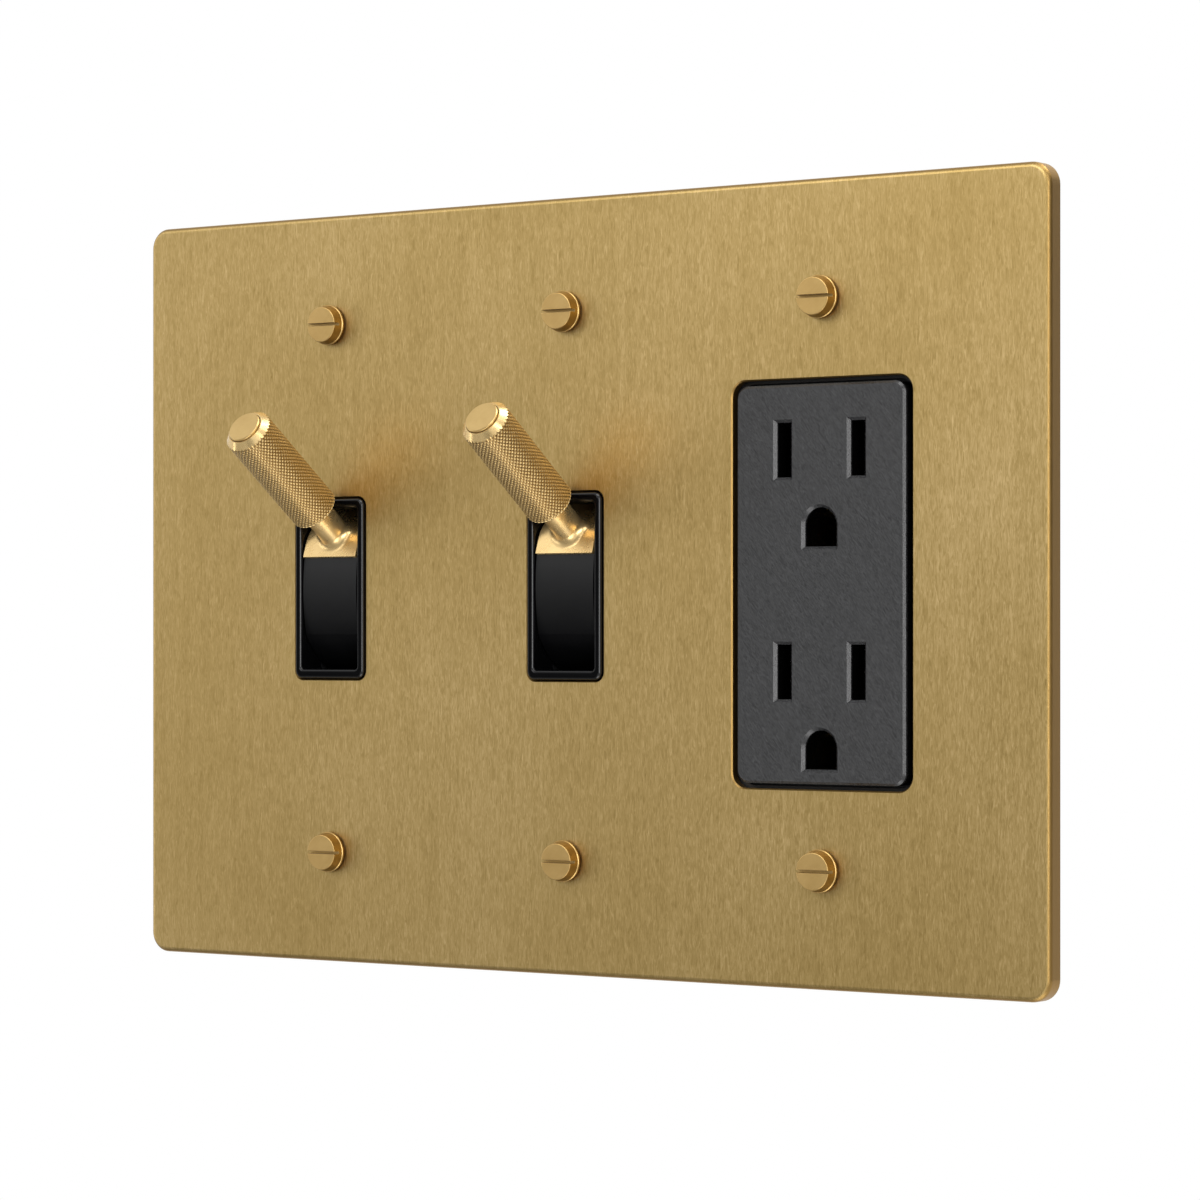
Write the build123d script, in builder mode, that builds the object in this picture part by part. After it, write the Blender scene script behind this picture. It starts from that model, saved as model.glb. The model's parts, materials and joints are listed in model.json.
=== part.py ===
from build123d import *
import math
import os

# Combination wall plate: two toggle switches with knurled levers and one duplex receptacle.
# Lengths are in millimetres and angles in degrees.
# X runs to the right and Z up along the wall, Y runs into the wall, and the room is at negative Y.
# The origin is the middle of the plate, on the wall's surface.

# Wall box that the plate fits
gang_pitch = 46.04
box_screw_spacing = 83.34

# Face plate
plate_width = 168.0
plate_height = 118.0
plate_thickness = 3.0
plate_corner_radius = 3.2
plate_edge_radius = 0.8
plate_rim_width = 3.0
pocket_depth = 1.6
pocket_corner_radius = 2.0
cutout_bevel = 0.2

# Slotted cheese-head screws that hold the plate and the straps to the wall box
screw_head_radius = 3.15
screw_head_height = 2.05
screw_head_chamfer = 0.45
screw_seat_radius = 2.5
screw_seat_height = 0.35
screw_slot_width = 0.75
screw_slot_depth = 1.2
screw_neck_radius = 1.45
screw_thread_radius = 1.75
screw_length = 24.0
screw_tip_chamfer = 0.5
screw_hole_clearance = 0.45

# Mounting straps
strap_thickness = 1.2
strap_end_clearance = 3.6
strap_ear_width = 22.0
strap_corner_radius = 3.0
strap_slot_length = 7.0
strap_slot_width = 4.2
ground_tab_reach = 12.0
ground_tab_height = 8.0
ground_tab_clearance = 1.0
ground_screw_depth = 6.5

# Switch bezels
bezel_width = 13.9
bezel_height = 28.4
bezel_side_rim = 1.3
bezel_end_rim = 1.5
bezel_corner_radius = 1.3
bezel_inner_radius = 0.5
bezel_proud = 0.6
bezel_rounding = 0.6
bezel_seat_depth = 1.5
bezel_clearance = 0.15

# Toggle mechanism
lever_angle = 36.0
pivot_depth = 10.2
pin_radius = 1.0
pin_half_length = 10.0
pin_clearance = 0.05
drum_radius = 14.6
drum_wall = 2.6
drum_crown_reach = 13.4
drum_crown_radius = 37.0
drum_width = 10.8
drum_web = 2.0
drum_half_angle = 106.0
drum_web_angle = 86.0
drum_hub_radius = 3.2
drum_boss_radius = 3.2
saddle_seat_radius = 13.7
saddle_reach = 14.45
saddle_flank_angle = 18.0
saddle_crest_radius = 6.0
saddle_upper_angle = 27.0
saddle_lower_angle = 15.5
saddle_width = 10.6
stem_radius = 2.35
stem_flare = 1.3
tang_radius = 1.6
tang_end = 4.4
tang_clearance = 0.05
grip_radius = 3.9
grip_start = 21.1
grip_length = 20.7
grip_foot_chamfer = 0.4
grip_tip_chamfer = 0.95
spigot_radius = 1.8
spigot_clearance = 0.05
cap_radius = 2.7
cap_thickness = 1.4
cap_proud = 0.4
cap_gap = 0.1
cap_chamfer = 0.12

# Spring plunger and rocking contact
barrel_radius = 2.6
barrel_reach = 6.6
plunger_reach = 9.0
plunger_radius = 1.5
plunger_tip_radius = 1.2
plunger_clearance = 0.1
plunger_seat = 5.4
spring_seat = 2.2
spring_wire = 0.45
spring_turns = 3.5
rocker_offset = 12.0
rocker_tilt = 8.0
rocker_thickness = 0.9
rocker_width = 4.8
rocker_half_length = 7.2
rocker_hub_radius = 1.1
track_gap = 0.2
track_half_angle = 62.0
trunnion_radius = 0.6
trunnion_clearance = 0.06
contact_place = 6.0
contact_radius = 1.2
contact_height = 0.8
contact_gap = 0.12
fixed_contact_radius = 1.3
fixed_contact_height = 0.7

# Switch case and its terminals
case_width = 30.0
case_height = 62.0
case_corner_radius = 1.5
base_depth = 6.5
base_chamfer = 1.2
base_panel_width = 17.0
base_panel_height = 40.0
base_panel_radius = 1.5
base_panel_depth = 0.6
base_wire_depth = 4.4
drum_side_clearance = 0.5
drum_end_clearance = 0.6
chamber_width = 22.0
chamber_height = 24.0
chamber_depth = 3.6
case_screw_place = 25.5
case_screw_radius = 1.45
case_screw_head_radius = 2.7
case_screw_head_height = 1.8
case_screw_clearance = 0.1
terminal_thickness = 0.9
terminal_clearance = 0.1
traveller_width = 3.2
common_width = 4.8
tab_height = 8.0
tab_start = 10.5
terminal_screw_depth = 15.5
binding_head_radius = 3.4
binding_head_height = 2.0
binding_shank_radius = 1.7
binding_shank_length = 6.0
binding_slot_width = 0.9
binding_slot_depth = 0.8
binding_clearance = 0.1
wire_hole_radius = 1.3
wire_hole_depth = 9.0
wire_hole_inset = 3.4
ear_thickness = 0.8
ear_width = 3.2
ear_gap = 0.3

# Duplex receptacle
face_width = 29.0
face_height = 58.2
face_corner_radius = 1.9
face_proud = 0.4
face_bevel = 0.35
face_side_gap = 1.0
face_end_gap = 0.8
face_corner_gap = 0.4
shoulder_depth = 8.0
shoulder_width = 2.0
shoulder_height = 5.9
window_clearance = 0.4
body_corner_radius = 2.0
body_depth = 24.0
body_chamfer = 0.8
outlet_spacing = 32.4
upper_slot_height = 19.6
slot_spacing = 12.7
slot_width = 2.4
slot_height = 8.0
slot_bevel = 0.45
ground_drop = 11.9
ground_hole_drop = 11.3
ground_hole_width = 5.4
ground_hole_height = 5.7
clip_thickness = 0.7
clip_height = 7.6
clip_reach = 11.6
clip_half_gap = 1.05
clip_pinch = 0.55
clip_lip = 0.95
chamber_clearance = 0.35
bus_link_width = 9.0
bus_tab_half_height = 17.0
bus_tab_reach = 14.0
bus_notch_width = 4.0
bus_notch_depth = 9.5
bus_screw_spacing = 20.0
bus_screw_depth = 7.0
ground_strip_half_width = 2.4
ground_leaf_height = 5.6
ground_leaf_gap = 1.9
assembly_screw_x = 12.0
assembly_screw_radius = 1.2
assembly_head_radius = 2.0
assembly_head_height = 1.6
assembly_clearance = 0.1

# Places worked out from the driving dimensions
switch_columns = {"left": -gang_pitch, "middle": 0.0}
outlet_column = gang_pitch
columns = list(switch_columns.values()) + [outlet_column]
box_screw_places = [
    (column, side * box_screw_spacing / 2) for column in columns for side in (-1, 1)
]
lean = math.radians(lever_angle)
lever_direction = Vector(0, -math.cos(lean), math.sin(lean))
strap_height = plate_height - 2 * (plate_rim_width + strap_end_clearance)
flank = math.radians(saddle_flank_angle)
saddle_crest = saddle_reach / math.cos(flank)
saddle_upper_edge = saddle_reach / math.cos(math.radians(saddle_upper_angle) - flank)
saddle_lower_edge = saddle_reach / math.cos(math.radians(saddle_lower_angle) - flank)
saddle_angle = saddle_upper_angle + saddle_lower_angle
grip_end = grip_start + grip_length
bezel_inner_width = bezel_width - 2 * bezel_side_rim
bezel_inner_height = bezel_height - 2 * bezel_end_rim

# The plunger's tip runs on an arc when it is seen from the tilting contact, which gives the track's arc
tilt = math.radians(rocker_tilt)
tip_side = plunger_reach * math.sin(lean)
tip_depth = plunger_reach * math.cos(lean) - rocker_offset
seen_side = tip_side * math.cos(tilt) + tip_depth * math.sin(tilt)
seen_depth = tip_depth * math.cos(tilt) - tip_side * math.sin(tilt)
track_middle = plunger_reach - rocker_offset
track_rise = track_middle - seen_depth
tip_path_radius = (seen_side**2 + track_rise**2) / (2 * track_rise)
track_center = track_middle - tip_path_radius
track_radius = tip_path_radius + plunger_tip_radius + track_gap
bar_back = track_center + track_radius + rocker_thickness
rocker_depth = pivot_depth + rocker_offset
pressed_depth = (bar_back + contact_height) * math.cos(tilt) + (
    contact_place + contact_radius
) * math.sin(tilt)
fixed_contact_depth = rocker_depth + pressed_depth + contact_gap
fixed_contact_place = contact_place * math.cos(tilt)
parting_depth = fixed_contact_depth + fixed_contact_height
case_depth = parting_depth + base_depth
cavity_width = drum_width + 2 * drum_side_clearance
cavity_height = 2 * (saddle_crest + drum_end_clearance)
ear_inner = rocker_width / 2 + ear_gap
ear_outer = ear_inner + ear_thickness
terminal_screw_places = [
    (1, fixed_contact_place),
    (1, -fixed_contact_place),
    (-1, 0.0),
]
outlet_opening_width = face_width + 2 * face_side_gap
outlet_opening_height = face_height + 2 * face_end_gap
outlet_opening_radius = face_corner_radius + face_corner_gap
body_width = face_width + 2 * shoulder_width
body_height = face_height + 2 * shoulder_height
ground_tab_place = -(body_height + ground_tab_height) / 2 - ground_tab_clearance
outlet_slot_heights = [upper_slot_height, upper_slot_height - outlet_spacing]
outlet_back = shoulder_depth + body_depth
contact_back = shoulder_depth + clip_reach + clip_thickness
bus_center_height = sum(outlet_slot_heights) / 2
assembly_screw_z = (face_height / 2 + window_clearance + body_height / 2) / 2


def facing_room(column, depth, height=0.0):
    return Plane(origin=(column, depth, height), x_dir=(1, 0, 0), z_dir=(0, -1, 0))


def facing_wall(column, depth, height=0.0):
    return Plane(origin=(column, depth, height), x_dir=(-1, 0, 0), z_dir=(0, 1, 0))


def facing_right(place, depth, height=0.0):
    return Plane(origin=(place, depth, height), x_dir=(0, 1, 0), z_dir=(1, 0, 0))


def level(column, height):
    return Plane(origin=(column, 0, height), x_dir=(1, 0, 0), z_dir=(0, 0, 1))


# Planes that lean with the lever: beside it, beside it from the saddle's upper end, across it at a distance from the
# pivot, and through its axis
def beside_lever(column):
    return Plane(origin=(column, pivot_depth, 0), x_dir=lever_direction, z_dir=(1, 0, 0))


def saddle_end(column):
    steep = math.radians(lever_angle + saddle_upper_angle)
    upwards = (0, -math.cos(steep), math.sin(steep))
    return Plane(origin=(column, pivot_depth, 0), x_dir=upwards, z_dir=(1, 0, 0))


def across_lever(column, distance):
    pivot = Vector(column, pivot_depth, 0)
    return Plane(origin=pivot + lever_direction * distance, x_dir=(1, 0, 0), z_dir=lever_direction)


def through_lever(column):
    across = Vector(1, 0, 0).cross(lever_direction)
    return Plane(origin=(column, pivot_depth, 0), x_dir=(1, 0, 0), z_dir=across)


def lever_axis(column):
    return Axis((column, pivot_depth, 0), lever_direction)


# Plane beside the tilted contact: its first direction runs into the wall and its second runs up
def beside_rocker(column):
    inwards = Vector(0, math.cos(tilt), math.sin(tilt))
    return Plane(origin=(column, rocker_depth, 0), x_dir=inwards, z_dir=(1, 0, 0))


def behind_rocker(column):
    inwards = Vector(0, math.cos(tilt), math.sin(tilt))
    back = Vector(column, rocker_depth, 0) + inwards * bar_back
    return Plane(origin=back, x_dir=(-1, 0, 0), z_dir=inwards)


def save(piece, name):
    piece.part.label = name
    export_step(piece.part, f"parts/{name}.step")


def make_face_plate():
    with BuildPart() as face_plate:
        with BuildSketch(facing_room(0, 0)):
            RectangleRounded(plate_width, plate_height, plate_corner_radius)
        extrude(amount=plate_thickness)
        fillet(face_plate.faces().sort_by(Axis.Y)[0].edges(), plate_edge_radius)
        with BuildSketch(facing_room(0, 0)):
            RectangleRounded(
                plate_width - 2 * plate_rim_width,
                plate_height - 2 * plate_rim_width,
                pocket_corner_radius,
            )
        extrude(amount=pocket_depth, mode=Mode.SUBTRACT)
        with BuildSketch(facing_room(0, 0)):
            with Locations(*[(column, 0) for column in switch_columns.values()]):
                RectangleRounded(
                    bezel_width + 2 * bezel_clearance,
                    bezel_height + 2 * bezel_clearance,
                    bezel_corner_radius + bezel_clearance,
                )
            with Locations((outlet_column, 0)):
                RectangleRounded(outlet_opening_width, outlet_opening_height, outlet_opening_radius)
            with Locations(*box_screw_places):
                Circle(screw_neck_radius + screw_hole_clearance)
        extrude(amount=plate_thickness, mode=Mode.SUBTRACT)
        front = face_plate.faces().sort_by(Axis.Y)[0]
        chamfer(front.inner_wires().edges(), cutout_bevel)
    save(face_plate, "face_plate")


def make_cover_screws():
    head_back = -plate_thickness - screw_seat_height
    head_front = head_back - screw_head_height
    screw_tip = screw_length - plate_thickness
    with BuildPart() as cover_screws:
        for column, height in box_screw_places:
            with BuildSketch(level(column, height)):
                with BuildLine():
                    Polyline(
                        (0, head_front),
                        (screw_head_radius - screw_head_chamfer, head_front),
                        (screw_head_radius, head_front + screw_head_chamfer),
                        (screw_head_radius, head_back),
                        (screw_seat_radius, head_back),
                        (screw_seat_radius, -plate_thickness),
                        (screw_neck_radius, -plate_thickness),
                        (screw_neck_radius, 0),
                        (screw_thread_radius, 0),
                        (screw_thread_radius, screw_tip - screw_tip_chamfer),
                        (screw_thread_radius - screw_tip_chamfer, screw_tip),
                        (0, screw_tip),
                        close=True,
                    )
                make_face()
            revolve(axis=Axis((column, 0, height), (0, 1, 0)))
            with BuildSketch(facing_wall(column, head_front, height)):
                Rectangle(3 * screw_head_radius, screw_slot_width)
            extrude(amount=screw_slot_depth, mode=Mode.SUBTRACT)
    save(cover_screws, "cover_screws")


# Flat strap with a window for the device, two ears with box screw slots and a tab bent back for the ground wire
def make_strap(name, column, width, height, window, screw_holes):
    window_width, window_height, window_radius = window
    hole_places, hole_radius = screw_holes
    tab_edge = -strap_ear_width / 2 + strap_thickness / 2
    with BuildPart() as strap:
        with BuildSketch(facing_room(column, 0)):
            RectangleRounded(strap_ear_width, strap_height, strap_corner_radius)
            RectangleRounded(width, height, strap_corner_radius)
            RectangleRounded(window_width, window_height, window_radius, mode=Mode.SUBTRACT)
            with Locations((0, box_screw_spacing / 2), (0, -box_screw_spacing / 2)):
                SlotOverall(strap_slot_length, strap_slot_width, mode=Mode.SUBTRACT)
            with Locations(*hole_places):
                Circle(hole_radius, mode=Mode.SUBTRACT)
        extrude(amount=strap_thickness)
        with BuildSketch(facing_room(column, ground_tab_reach, ground_tab_place)):
            with Locations((tab_edge, 0)):
                Rectangle(strap_thickness, ground_tab_height)
        extrude(amount=ground_tab_reach)
        tab_end = strap.faces().sort_by(Axis.Y)[-1].edges().filter_by(Axis.X)
        fillet(tab_end, ground_tab_height / 4)
        with BuildSketch(facing_right(column + tab_edge, ground_screw_depth, ground_tab_place)):
            Circle(binding_shank_radius + binding_clearance)
        extrude(amount=strap_thickness, both=True, mode=Mode.SUBTRACT)
    save(strap, name)


# Binding-head screws: seats are (place along X, side that the head faces, depth, height)
def make_binding_screws(name, seats):
    with BuildPart() as screws:
        for place, side, depth, height in seats:
            with BuildSketch(facing_right(place, depth, height)):
                Circle(binding_head_radius)
            extrude(amount=side * binding_head_height)
            with BuildSketch(facing_right(place, depth, height)):
                Circle(binding_shank_radius)
            extrude(amount=-side * binding_shank_length)
            with BuildSketch(facing_right(place + side * binding_head_height, depth, height)):
                Rectangle(3 * binding_head_radius, binding_slot_width)
            extrude(amount=-side * binding_slot_depth, mode=Mode.SUBTRACT)
    save(screws, name)


def make_ground_screw(name, column):
    make_binding_screws(
        name, [(column - strap_ear_width / 2, -1, ground_screw_depth, ground_tab_place)]
    )


# Screws along Y whose heads sit in counterbores at the back of a case
def make_case_screws(name, places, back, front, head, shank_radius):
    head_radius, head_height = head
    with BuildPart() as screws:
        with BuildSketch(facing_room(0, back)):
            with Locations(*places):
                Circle(head_radius)
        extrude(amount=head_height)
        with BuildSketch(facing_room(0, back)):
            with Locations(*places):
                Circle(shank_radius)
        extrude(amount=back - front)
        with BuildSketch(facing_room(0, back)):
            with Locations(*places):
                Rectangle(3 * head_radius, binding_slot_width)
        extrude(amount=head_height / 2, mode=Mode.SUBTRACT)
    save(screws, name)


def make_bezel(name, column):
    with BuildPart() as bezel:
        with BuildSketch(facing_room(column, bezel_seat_depth)):
            RectangleRounded(bezel_width, bezel_height, bezel_corner_radius)
            RectangleRounded(
                bezel_inner_width, bezel_inner_height, bezel_inner_radius, mode=Mode.SUBTRACT
            )
        extrude(amount=bezel_seat_depth + plate_thickness + bezel_proud)
        fillet(bezel.faces().sort_by(Axis.Y)[0].edges(), bezel_rounding)
    save(bezel, name)


# Trims the sketch in hand to the drum's two crowned flats, one of which faces the room at each end of the throw
def crown_drum():
    set_back = drum_crown_radius - drum_crown_reach
    for side in (-1, 1):
        with Locations((-set_back * math.cos(lean), side * set_back * math.sin(lean))):
            Circle(drum_crown_radius, mode=Mode.INTERSECT)


# Drum that closes the bezel's opening: a shell on a web, with a seat for the saddle, a hub, a lever boss and a spring
# barrel
def make_drum(name, column):
    side = beside_lever(column)
    inner_radius = drum_radius - drum_wall
    with BuildPart() as drum:
        with BuildSketch(side):
            with BuildLine():
                rim = CenterArc((0, 0), drum_radius, -drum_half_angle, 2 * drum_half_angle)
                inside = CenterArc((0, 0), inner_radius, -drum_half_angle, 2 * drum_half_angle)
                Line(rim @ 0, inside @ 0)
                Line(rim @ 1, inside @ 1)
            make_face()
            crown_drum()
            Circle(drum_hub_radius)
        extrude(amount=drum_width / 2, both=True)
        with BuildSketch(side):
            with BuildLine():
                web = CenterArc((0, 0), drum_radius - drum_wall / 2, -drum_web_angle, 2 * drum_web_angle)
                Line(web @ 1, (0, 0))
                Line((0, 0), web @ 0)
            make_face()
        extrude(amount=drum_web / 2, both=True)
        with BuildSketch(across_lever(column, 0)):
            Circle(drum_boss_radius)
        extrude(amount=drum_radius - drum_wall / 2)
        with BuildSketch(saddle_end(column)):
            with BuildLine():
                seat = CenterArc((0, 0), saddle_seat_radius, 0, saddle_angle)
                beyond = CenterArc((0, 0), saddle_crest, 0, saddle_angle)
                Line(seat @ 0, beyond @ 0)
                Line(seat @ 1, beyond @ 1)
            make_face()
        extrude(amount=drum_width, both=True, mode=Mode.SUBTRACT)
        with BuildSketch(across_lever(column, 0)):
            Circle(barrel_radius)
        extrude(amount=-barrel_reach)
        with BuildSketch(side):
            Circle(pin_radius + pin_clearance)
        extrude(amount=drum_width, both=True, mode=Mode.SUBTRACT)
        with BuildSketch(across_lever(column, tang_end)):
            Circle(tang_radius + tang_clearance)
        extrude(amount=drum_radius - tang_end, mode=Mode.SUBTRACT)
        with BuildSketch(across_lever(column, -spring_seat)):
            Circle(plunger_radius + plunger_clearance)
        extrude(amount=-barrel_reach, mode=Mode.SUBTRACT)
    save(drum, name)


# Brass lever: a roof-shaped saddle on the drum, flared into a round stem, with a tang below and a spigot for the grip
def make_lever(name, column):
    with BuildPart() as lever:
        with BuildSketch(saddle_end(column)) as roof:
            with BuildLine():
                seat = CenterArc((0, 0), saddle_seat_radius, 0, saddle_angle)
                upper = PolarLine((0, 0), saddle_upper_edge, 0, mode=Mode.PRIVATE) @ 1
                crest = PolarLine((0, 0), saddle_crest, saddle_upper_angle, mode=Mode.PRIVATE) @ 1
                lower = PolarLine((0, 0), saddle_lower_edge, saddle_angle, mode=Mode.PRIVATE) @ 1
                Polyline(seat @ 0, upper, crest, lower, seat @ 1)
            make_face()
            fillet(roof.vertices().sort_by_distance((0, 0))[-1], saddle_crest_radius)
        extrude(amount=saddle_width / 2, both=True)
        with BuildSketch(across_lever(column, saddle_seat_radius)):
            Circle(stem_radius)
        extrude(amount=grip_start - saddle_seat_radius)
        stem = lever.faces().filter_by(GeomType.CYLINDER).sort_by(lever_axis(column))[-1]
        fillet(stem.edges().sort_by(lever_axis(column))[0], stem_flare)
        with BuildSketch(across_lever(column, tang_end)):
            Circle(tang_radius)
        extrude(amount=saddle_reach - tang_end)
        with BuildSketch(across_lever(column, grip_start)):
            Circle(spigot_radius)
        extrude(amount=grip_length - cap_thickness)
    save(lever, name)


# Turned sleeve of the lever: its knurled length is plain here, between a foot chamfer and a tip chamfer
def make_grip(name, column):
    bore_radius = spigot_radius + spigot_clearance
    seat_radius = cap_radius + cap_gap
    with BuildPart() as grip:
        with BuildSketch(through_lever(column)):
            with BuildLine():
                Polyline(
                    (bore_radius, grip_start),
                    (grip_radius - grip_foot_chamfer, grip_start),
                    (grip_radius, grip_start + grip_foot_chamfer),
                    (grip_radius, grip_end - grip_tip_chamfer),
                    (grip_radius - grip_tip_chamfer, grip_end),
                    (seat_radius, grip_end),
                    (seat_radius, grip_end - cap_thickness),
                    (bore_radius, grip_end - cap_thickness),
                    close=True,
                )
            make_face()
        revolve(axis=lever_axis(column))
    save(grip, name)


def make_grip_cap(name, column):
    with BuildPart() as cap:
        with BuildSketch(across_lever(column, grip_end - cap_thickness)):
            Circle(cap_radius)
        extrude(amount=cap_thickness + cap_proud)
        tip = cap.faces().sort_by(lever_axis(column))[-1]
        chamfer(tip.edges(), cap_chamfer)
    save(cap, name)


def make_pivot_pin(name, column):
    with BuildPart() as pin:
        with BuildSketch(facing_right(column, pivot_depth)):
            Circle(pin_radius)
        extrude(amount=pin_half_length, both=True)
    save(pin, name)


# Round-nosed plunger that the spring pushes out of the drum's barrel
def make_plunger(name, column):
    nose_start = plunger_reach - (plunger_radius - plunger_tip_radius)
    with BuildPart() as plunger:
        with BuildSketch(through_lever(column)):
            with BuildLine():
                Line((0, -plunger_seat), (plunger_radius, -plunger_seat))
                Line((plunger_radius, -plunger_seat), (plunger_radius, -nose_start))
                Line((plunger_radius, -nose_start), (plunger_tip_radius, -plunger_reach))
                nose = CenterArc((0, -plunger_reach), plunger_tip_radius, 0, -90)
                Line(nose @ 1, (0, -plunger_seat))
            make_face()
        revolve(axis=lever_axis(column))
    save(plunger, name)


def make_plunger_spring(name, column):
    coil_radius = plunger_radius - spring_wire / 2
    coil_start = plunger_seat - spring_wire / 2
    coil_length = plunger_seat - spring_seat - spring_wire
    with BuildPart() as spring:
        with BuildLine(across_lever(column, -coil_start)) as coil:
            Helix(coil_length / spring_turns, coil_length, coil_radius, direction=lever_direction)
        with BuildSketch(Plane(origin=coil.line @ 0, z_dir=coil.line % 0)):
            RegularPolygon(spring_wire / 2, 6)
        sweep(path=coil.line, is_frenet=True)
    save(spring, name)


# Moving contact: a curved track for the plunger on a bar with a contact button at each end, on two trunnions
def make_contact_rocker(name, column):
    side = beside_rocker(column)
    outer_radius = track_radius + rocker_thickness
    with BuildPart() as rocker:
        with BuildSketch(side):
            with BuildLine():
                start, sweep_angle = -track_half_angle, 2 * track_half_angle
                inner = CenterArc((track_center, 0), track_radius, start, sweep_angle)
                outer = CenterArc((track_center, 0), outer_radius, start, sweep_angle)
                Line(inner @ 0, outer @ 0)
                Line(inner @ 1, outer @ 1)
            make_face()
            with Locations((bar_back - rocker_thickness / 2, 0)):
                Rectangle(rocker_thickness, 2 * rocker_half_length)
            Circle(rocker_hub_radius)
            with Locations((track_center, 0)):
                Circle(track_radius, mode=Mode.SUBTRACT)
        extrude(amount=rocker_width / 2, both=True)
        with BuildSketch(side):
            Circle(trunnion_radius)
        extrude(amount=ear_outer, both=True)
        with BuildSketch(behind_rocker(column)):
            with Locations((0, contact_place), (0, -contact_place)):
                Circle(contact_radius)
        extrude(amount=contact_height)
    save(rocker, name)


# Common terminal: a strip out to the side, a wiring tab and two ears that carry the rocking contact's trunnions
def make_common_terminal(name, column):
    tab_outer = case_width / 2 + terminal_thickness
    strip_back = parting_depth + terminal_thickness
    ear_front = rocker_depth - ear_width / 2
    with BuildPart() as terminal:
        with BuildSketch(facing_room(column, strip_back)):
            with Locations(((ear_outer - tab_outer) / 2, 0)):
                Rectangle(ear_outer + tab_outer, common_width)
        extrude(amount=terminal_thickness)
        with BuildSketch(facing_room(column, strip_back)):
            with Locations((-tab_outer + terminal_thickness / 2, 0)):
                Rectangle(terminal_thickness, tab_height)
        extrude(amount=strip_back - tab_start)
        with BuildSketch(facing_room(column, strip_back)):
            for direction in (-1, 1):
                with Locations((direction * (ear_inner + ear_outer) / 2, 0)):
                    Rectangle(ear_thickness, ear_width)
        extrude(amount=strip_back - ear_front)
        with BuildSketch(facing_right(column, rocker_depth)):
            Circle(trunnion_radius + trunnion_clearance)
        extrude(amount=2 * ear_outer, both=True, mode=Mode.SUBTRACT)
        with BuildSketch(facing_right(column - tab_outer, terminal_screw_depth)):
            Circle(binding_shank_radius + binding_clearance)
        extrude(amount=terminal_thickness, mode=Mode.SUBTRACT)
    save(terminal, name)


# Traveller terminal: a fixed contact button on a strip out to the side, with a wiring tab
def make_traveller_terminal(name, column, side):
    tab_outer = case_width / 2 + terminal_thickness
    strip_back = parting_depth + terminal_thickness
    strip_inner = fixed_contact_radius + ear_gap
    place = side * fixed_contact_place
    with BuildPart() as terminal:
        with BuildSketch(facing_room(column, strip_back, place)):
            with Locations(((tab_outer - strip_inner) / 2, 0)):
                Rectangle(tab_outer + strip_inner, traveller_width)
        extrude(amount=terminal_thickness)
        with BuildSketch(facing_room(column, parting_depth, place)):
            Circle(fixed_contact_radius)
        extrude(amount=fixed_contact_height)
        with BuildSketch(facing_room(column, strip_back, place)):
            with Locations((tab_outer - terminal_thickness / 2, 0)):
                Rectangle(terminal_thickness, tab_height)
        extrude(amount=strip_back - tab_start)
        with BuildSketch(facing_right(column + tab_outer, terminal_screw_depth, place)):
            Circle(binding_shank_radius + binding_clearance)
        extrude(amount=-terminal_thickness, mode=Mode.SUBTRACT)
    save(terminal, name)


# Front moulding of the switch: it carries the bezel and the pivot pin, and the drum turns in its cavity
def make_housing(name, column):
    shank_hole = binding_shank_radius + 2 * binding_clearance
    with BuildPart() as housing:
        with BuildSketch(facing_room(column, parting_depth)):
            RectangleRounded(case_width, case_height, case_corner_radius)
            Rectangle(cavity_width, cavity_height, mode=Mode.SUBTRACT)
            with Locations((0, case_screw_place), (0, -case_screw_place)):
                Circle(case_screw_radius + case_screw_clearance, mode=Mode.SUBTRACT)
        extrude(amount=parting_depth)
        with BuildSketch(facing_room(column, bezel_seat_depth)):
            RectangleRounded(
                bezel_width + 2 * bezel_clearance,
                bezel_height + 2 * bezel_clearance,
                bezel_corner_radius + bezel_clearance,
            )
        extrude(amount=bezel_seat_depth, mode=Mode.SUBTRACT)
        with BuildSketch(facing_right(column - pin_half_length, pivot_depth)):
            Circle(pin_radius)
        extrude(amount=pin_half_length + case_width / 2, mode=Mode.SUBTRACT)
        for direction, place in terminal_screw_places:
            edge = column + direction * case_width / 2
            with BuildSketch(facing_right(edge, terminal_screw_depth, place)):
                Circle(shank_hole)
            extrude(amount=-direction * binding_shank_length, mode=Mode.SUBTRACT)
    save(housing, name)


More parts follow.
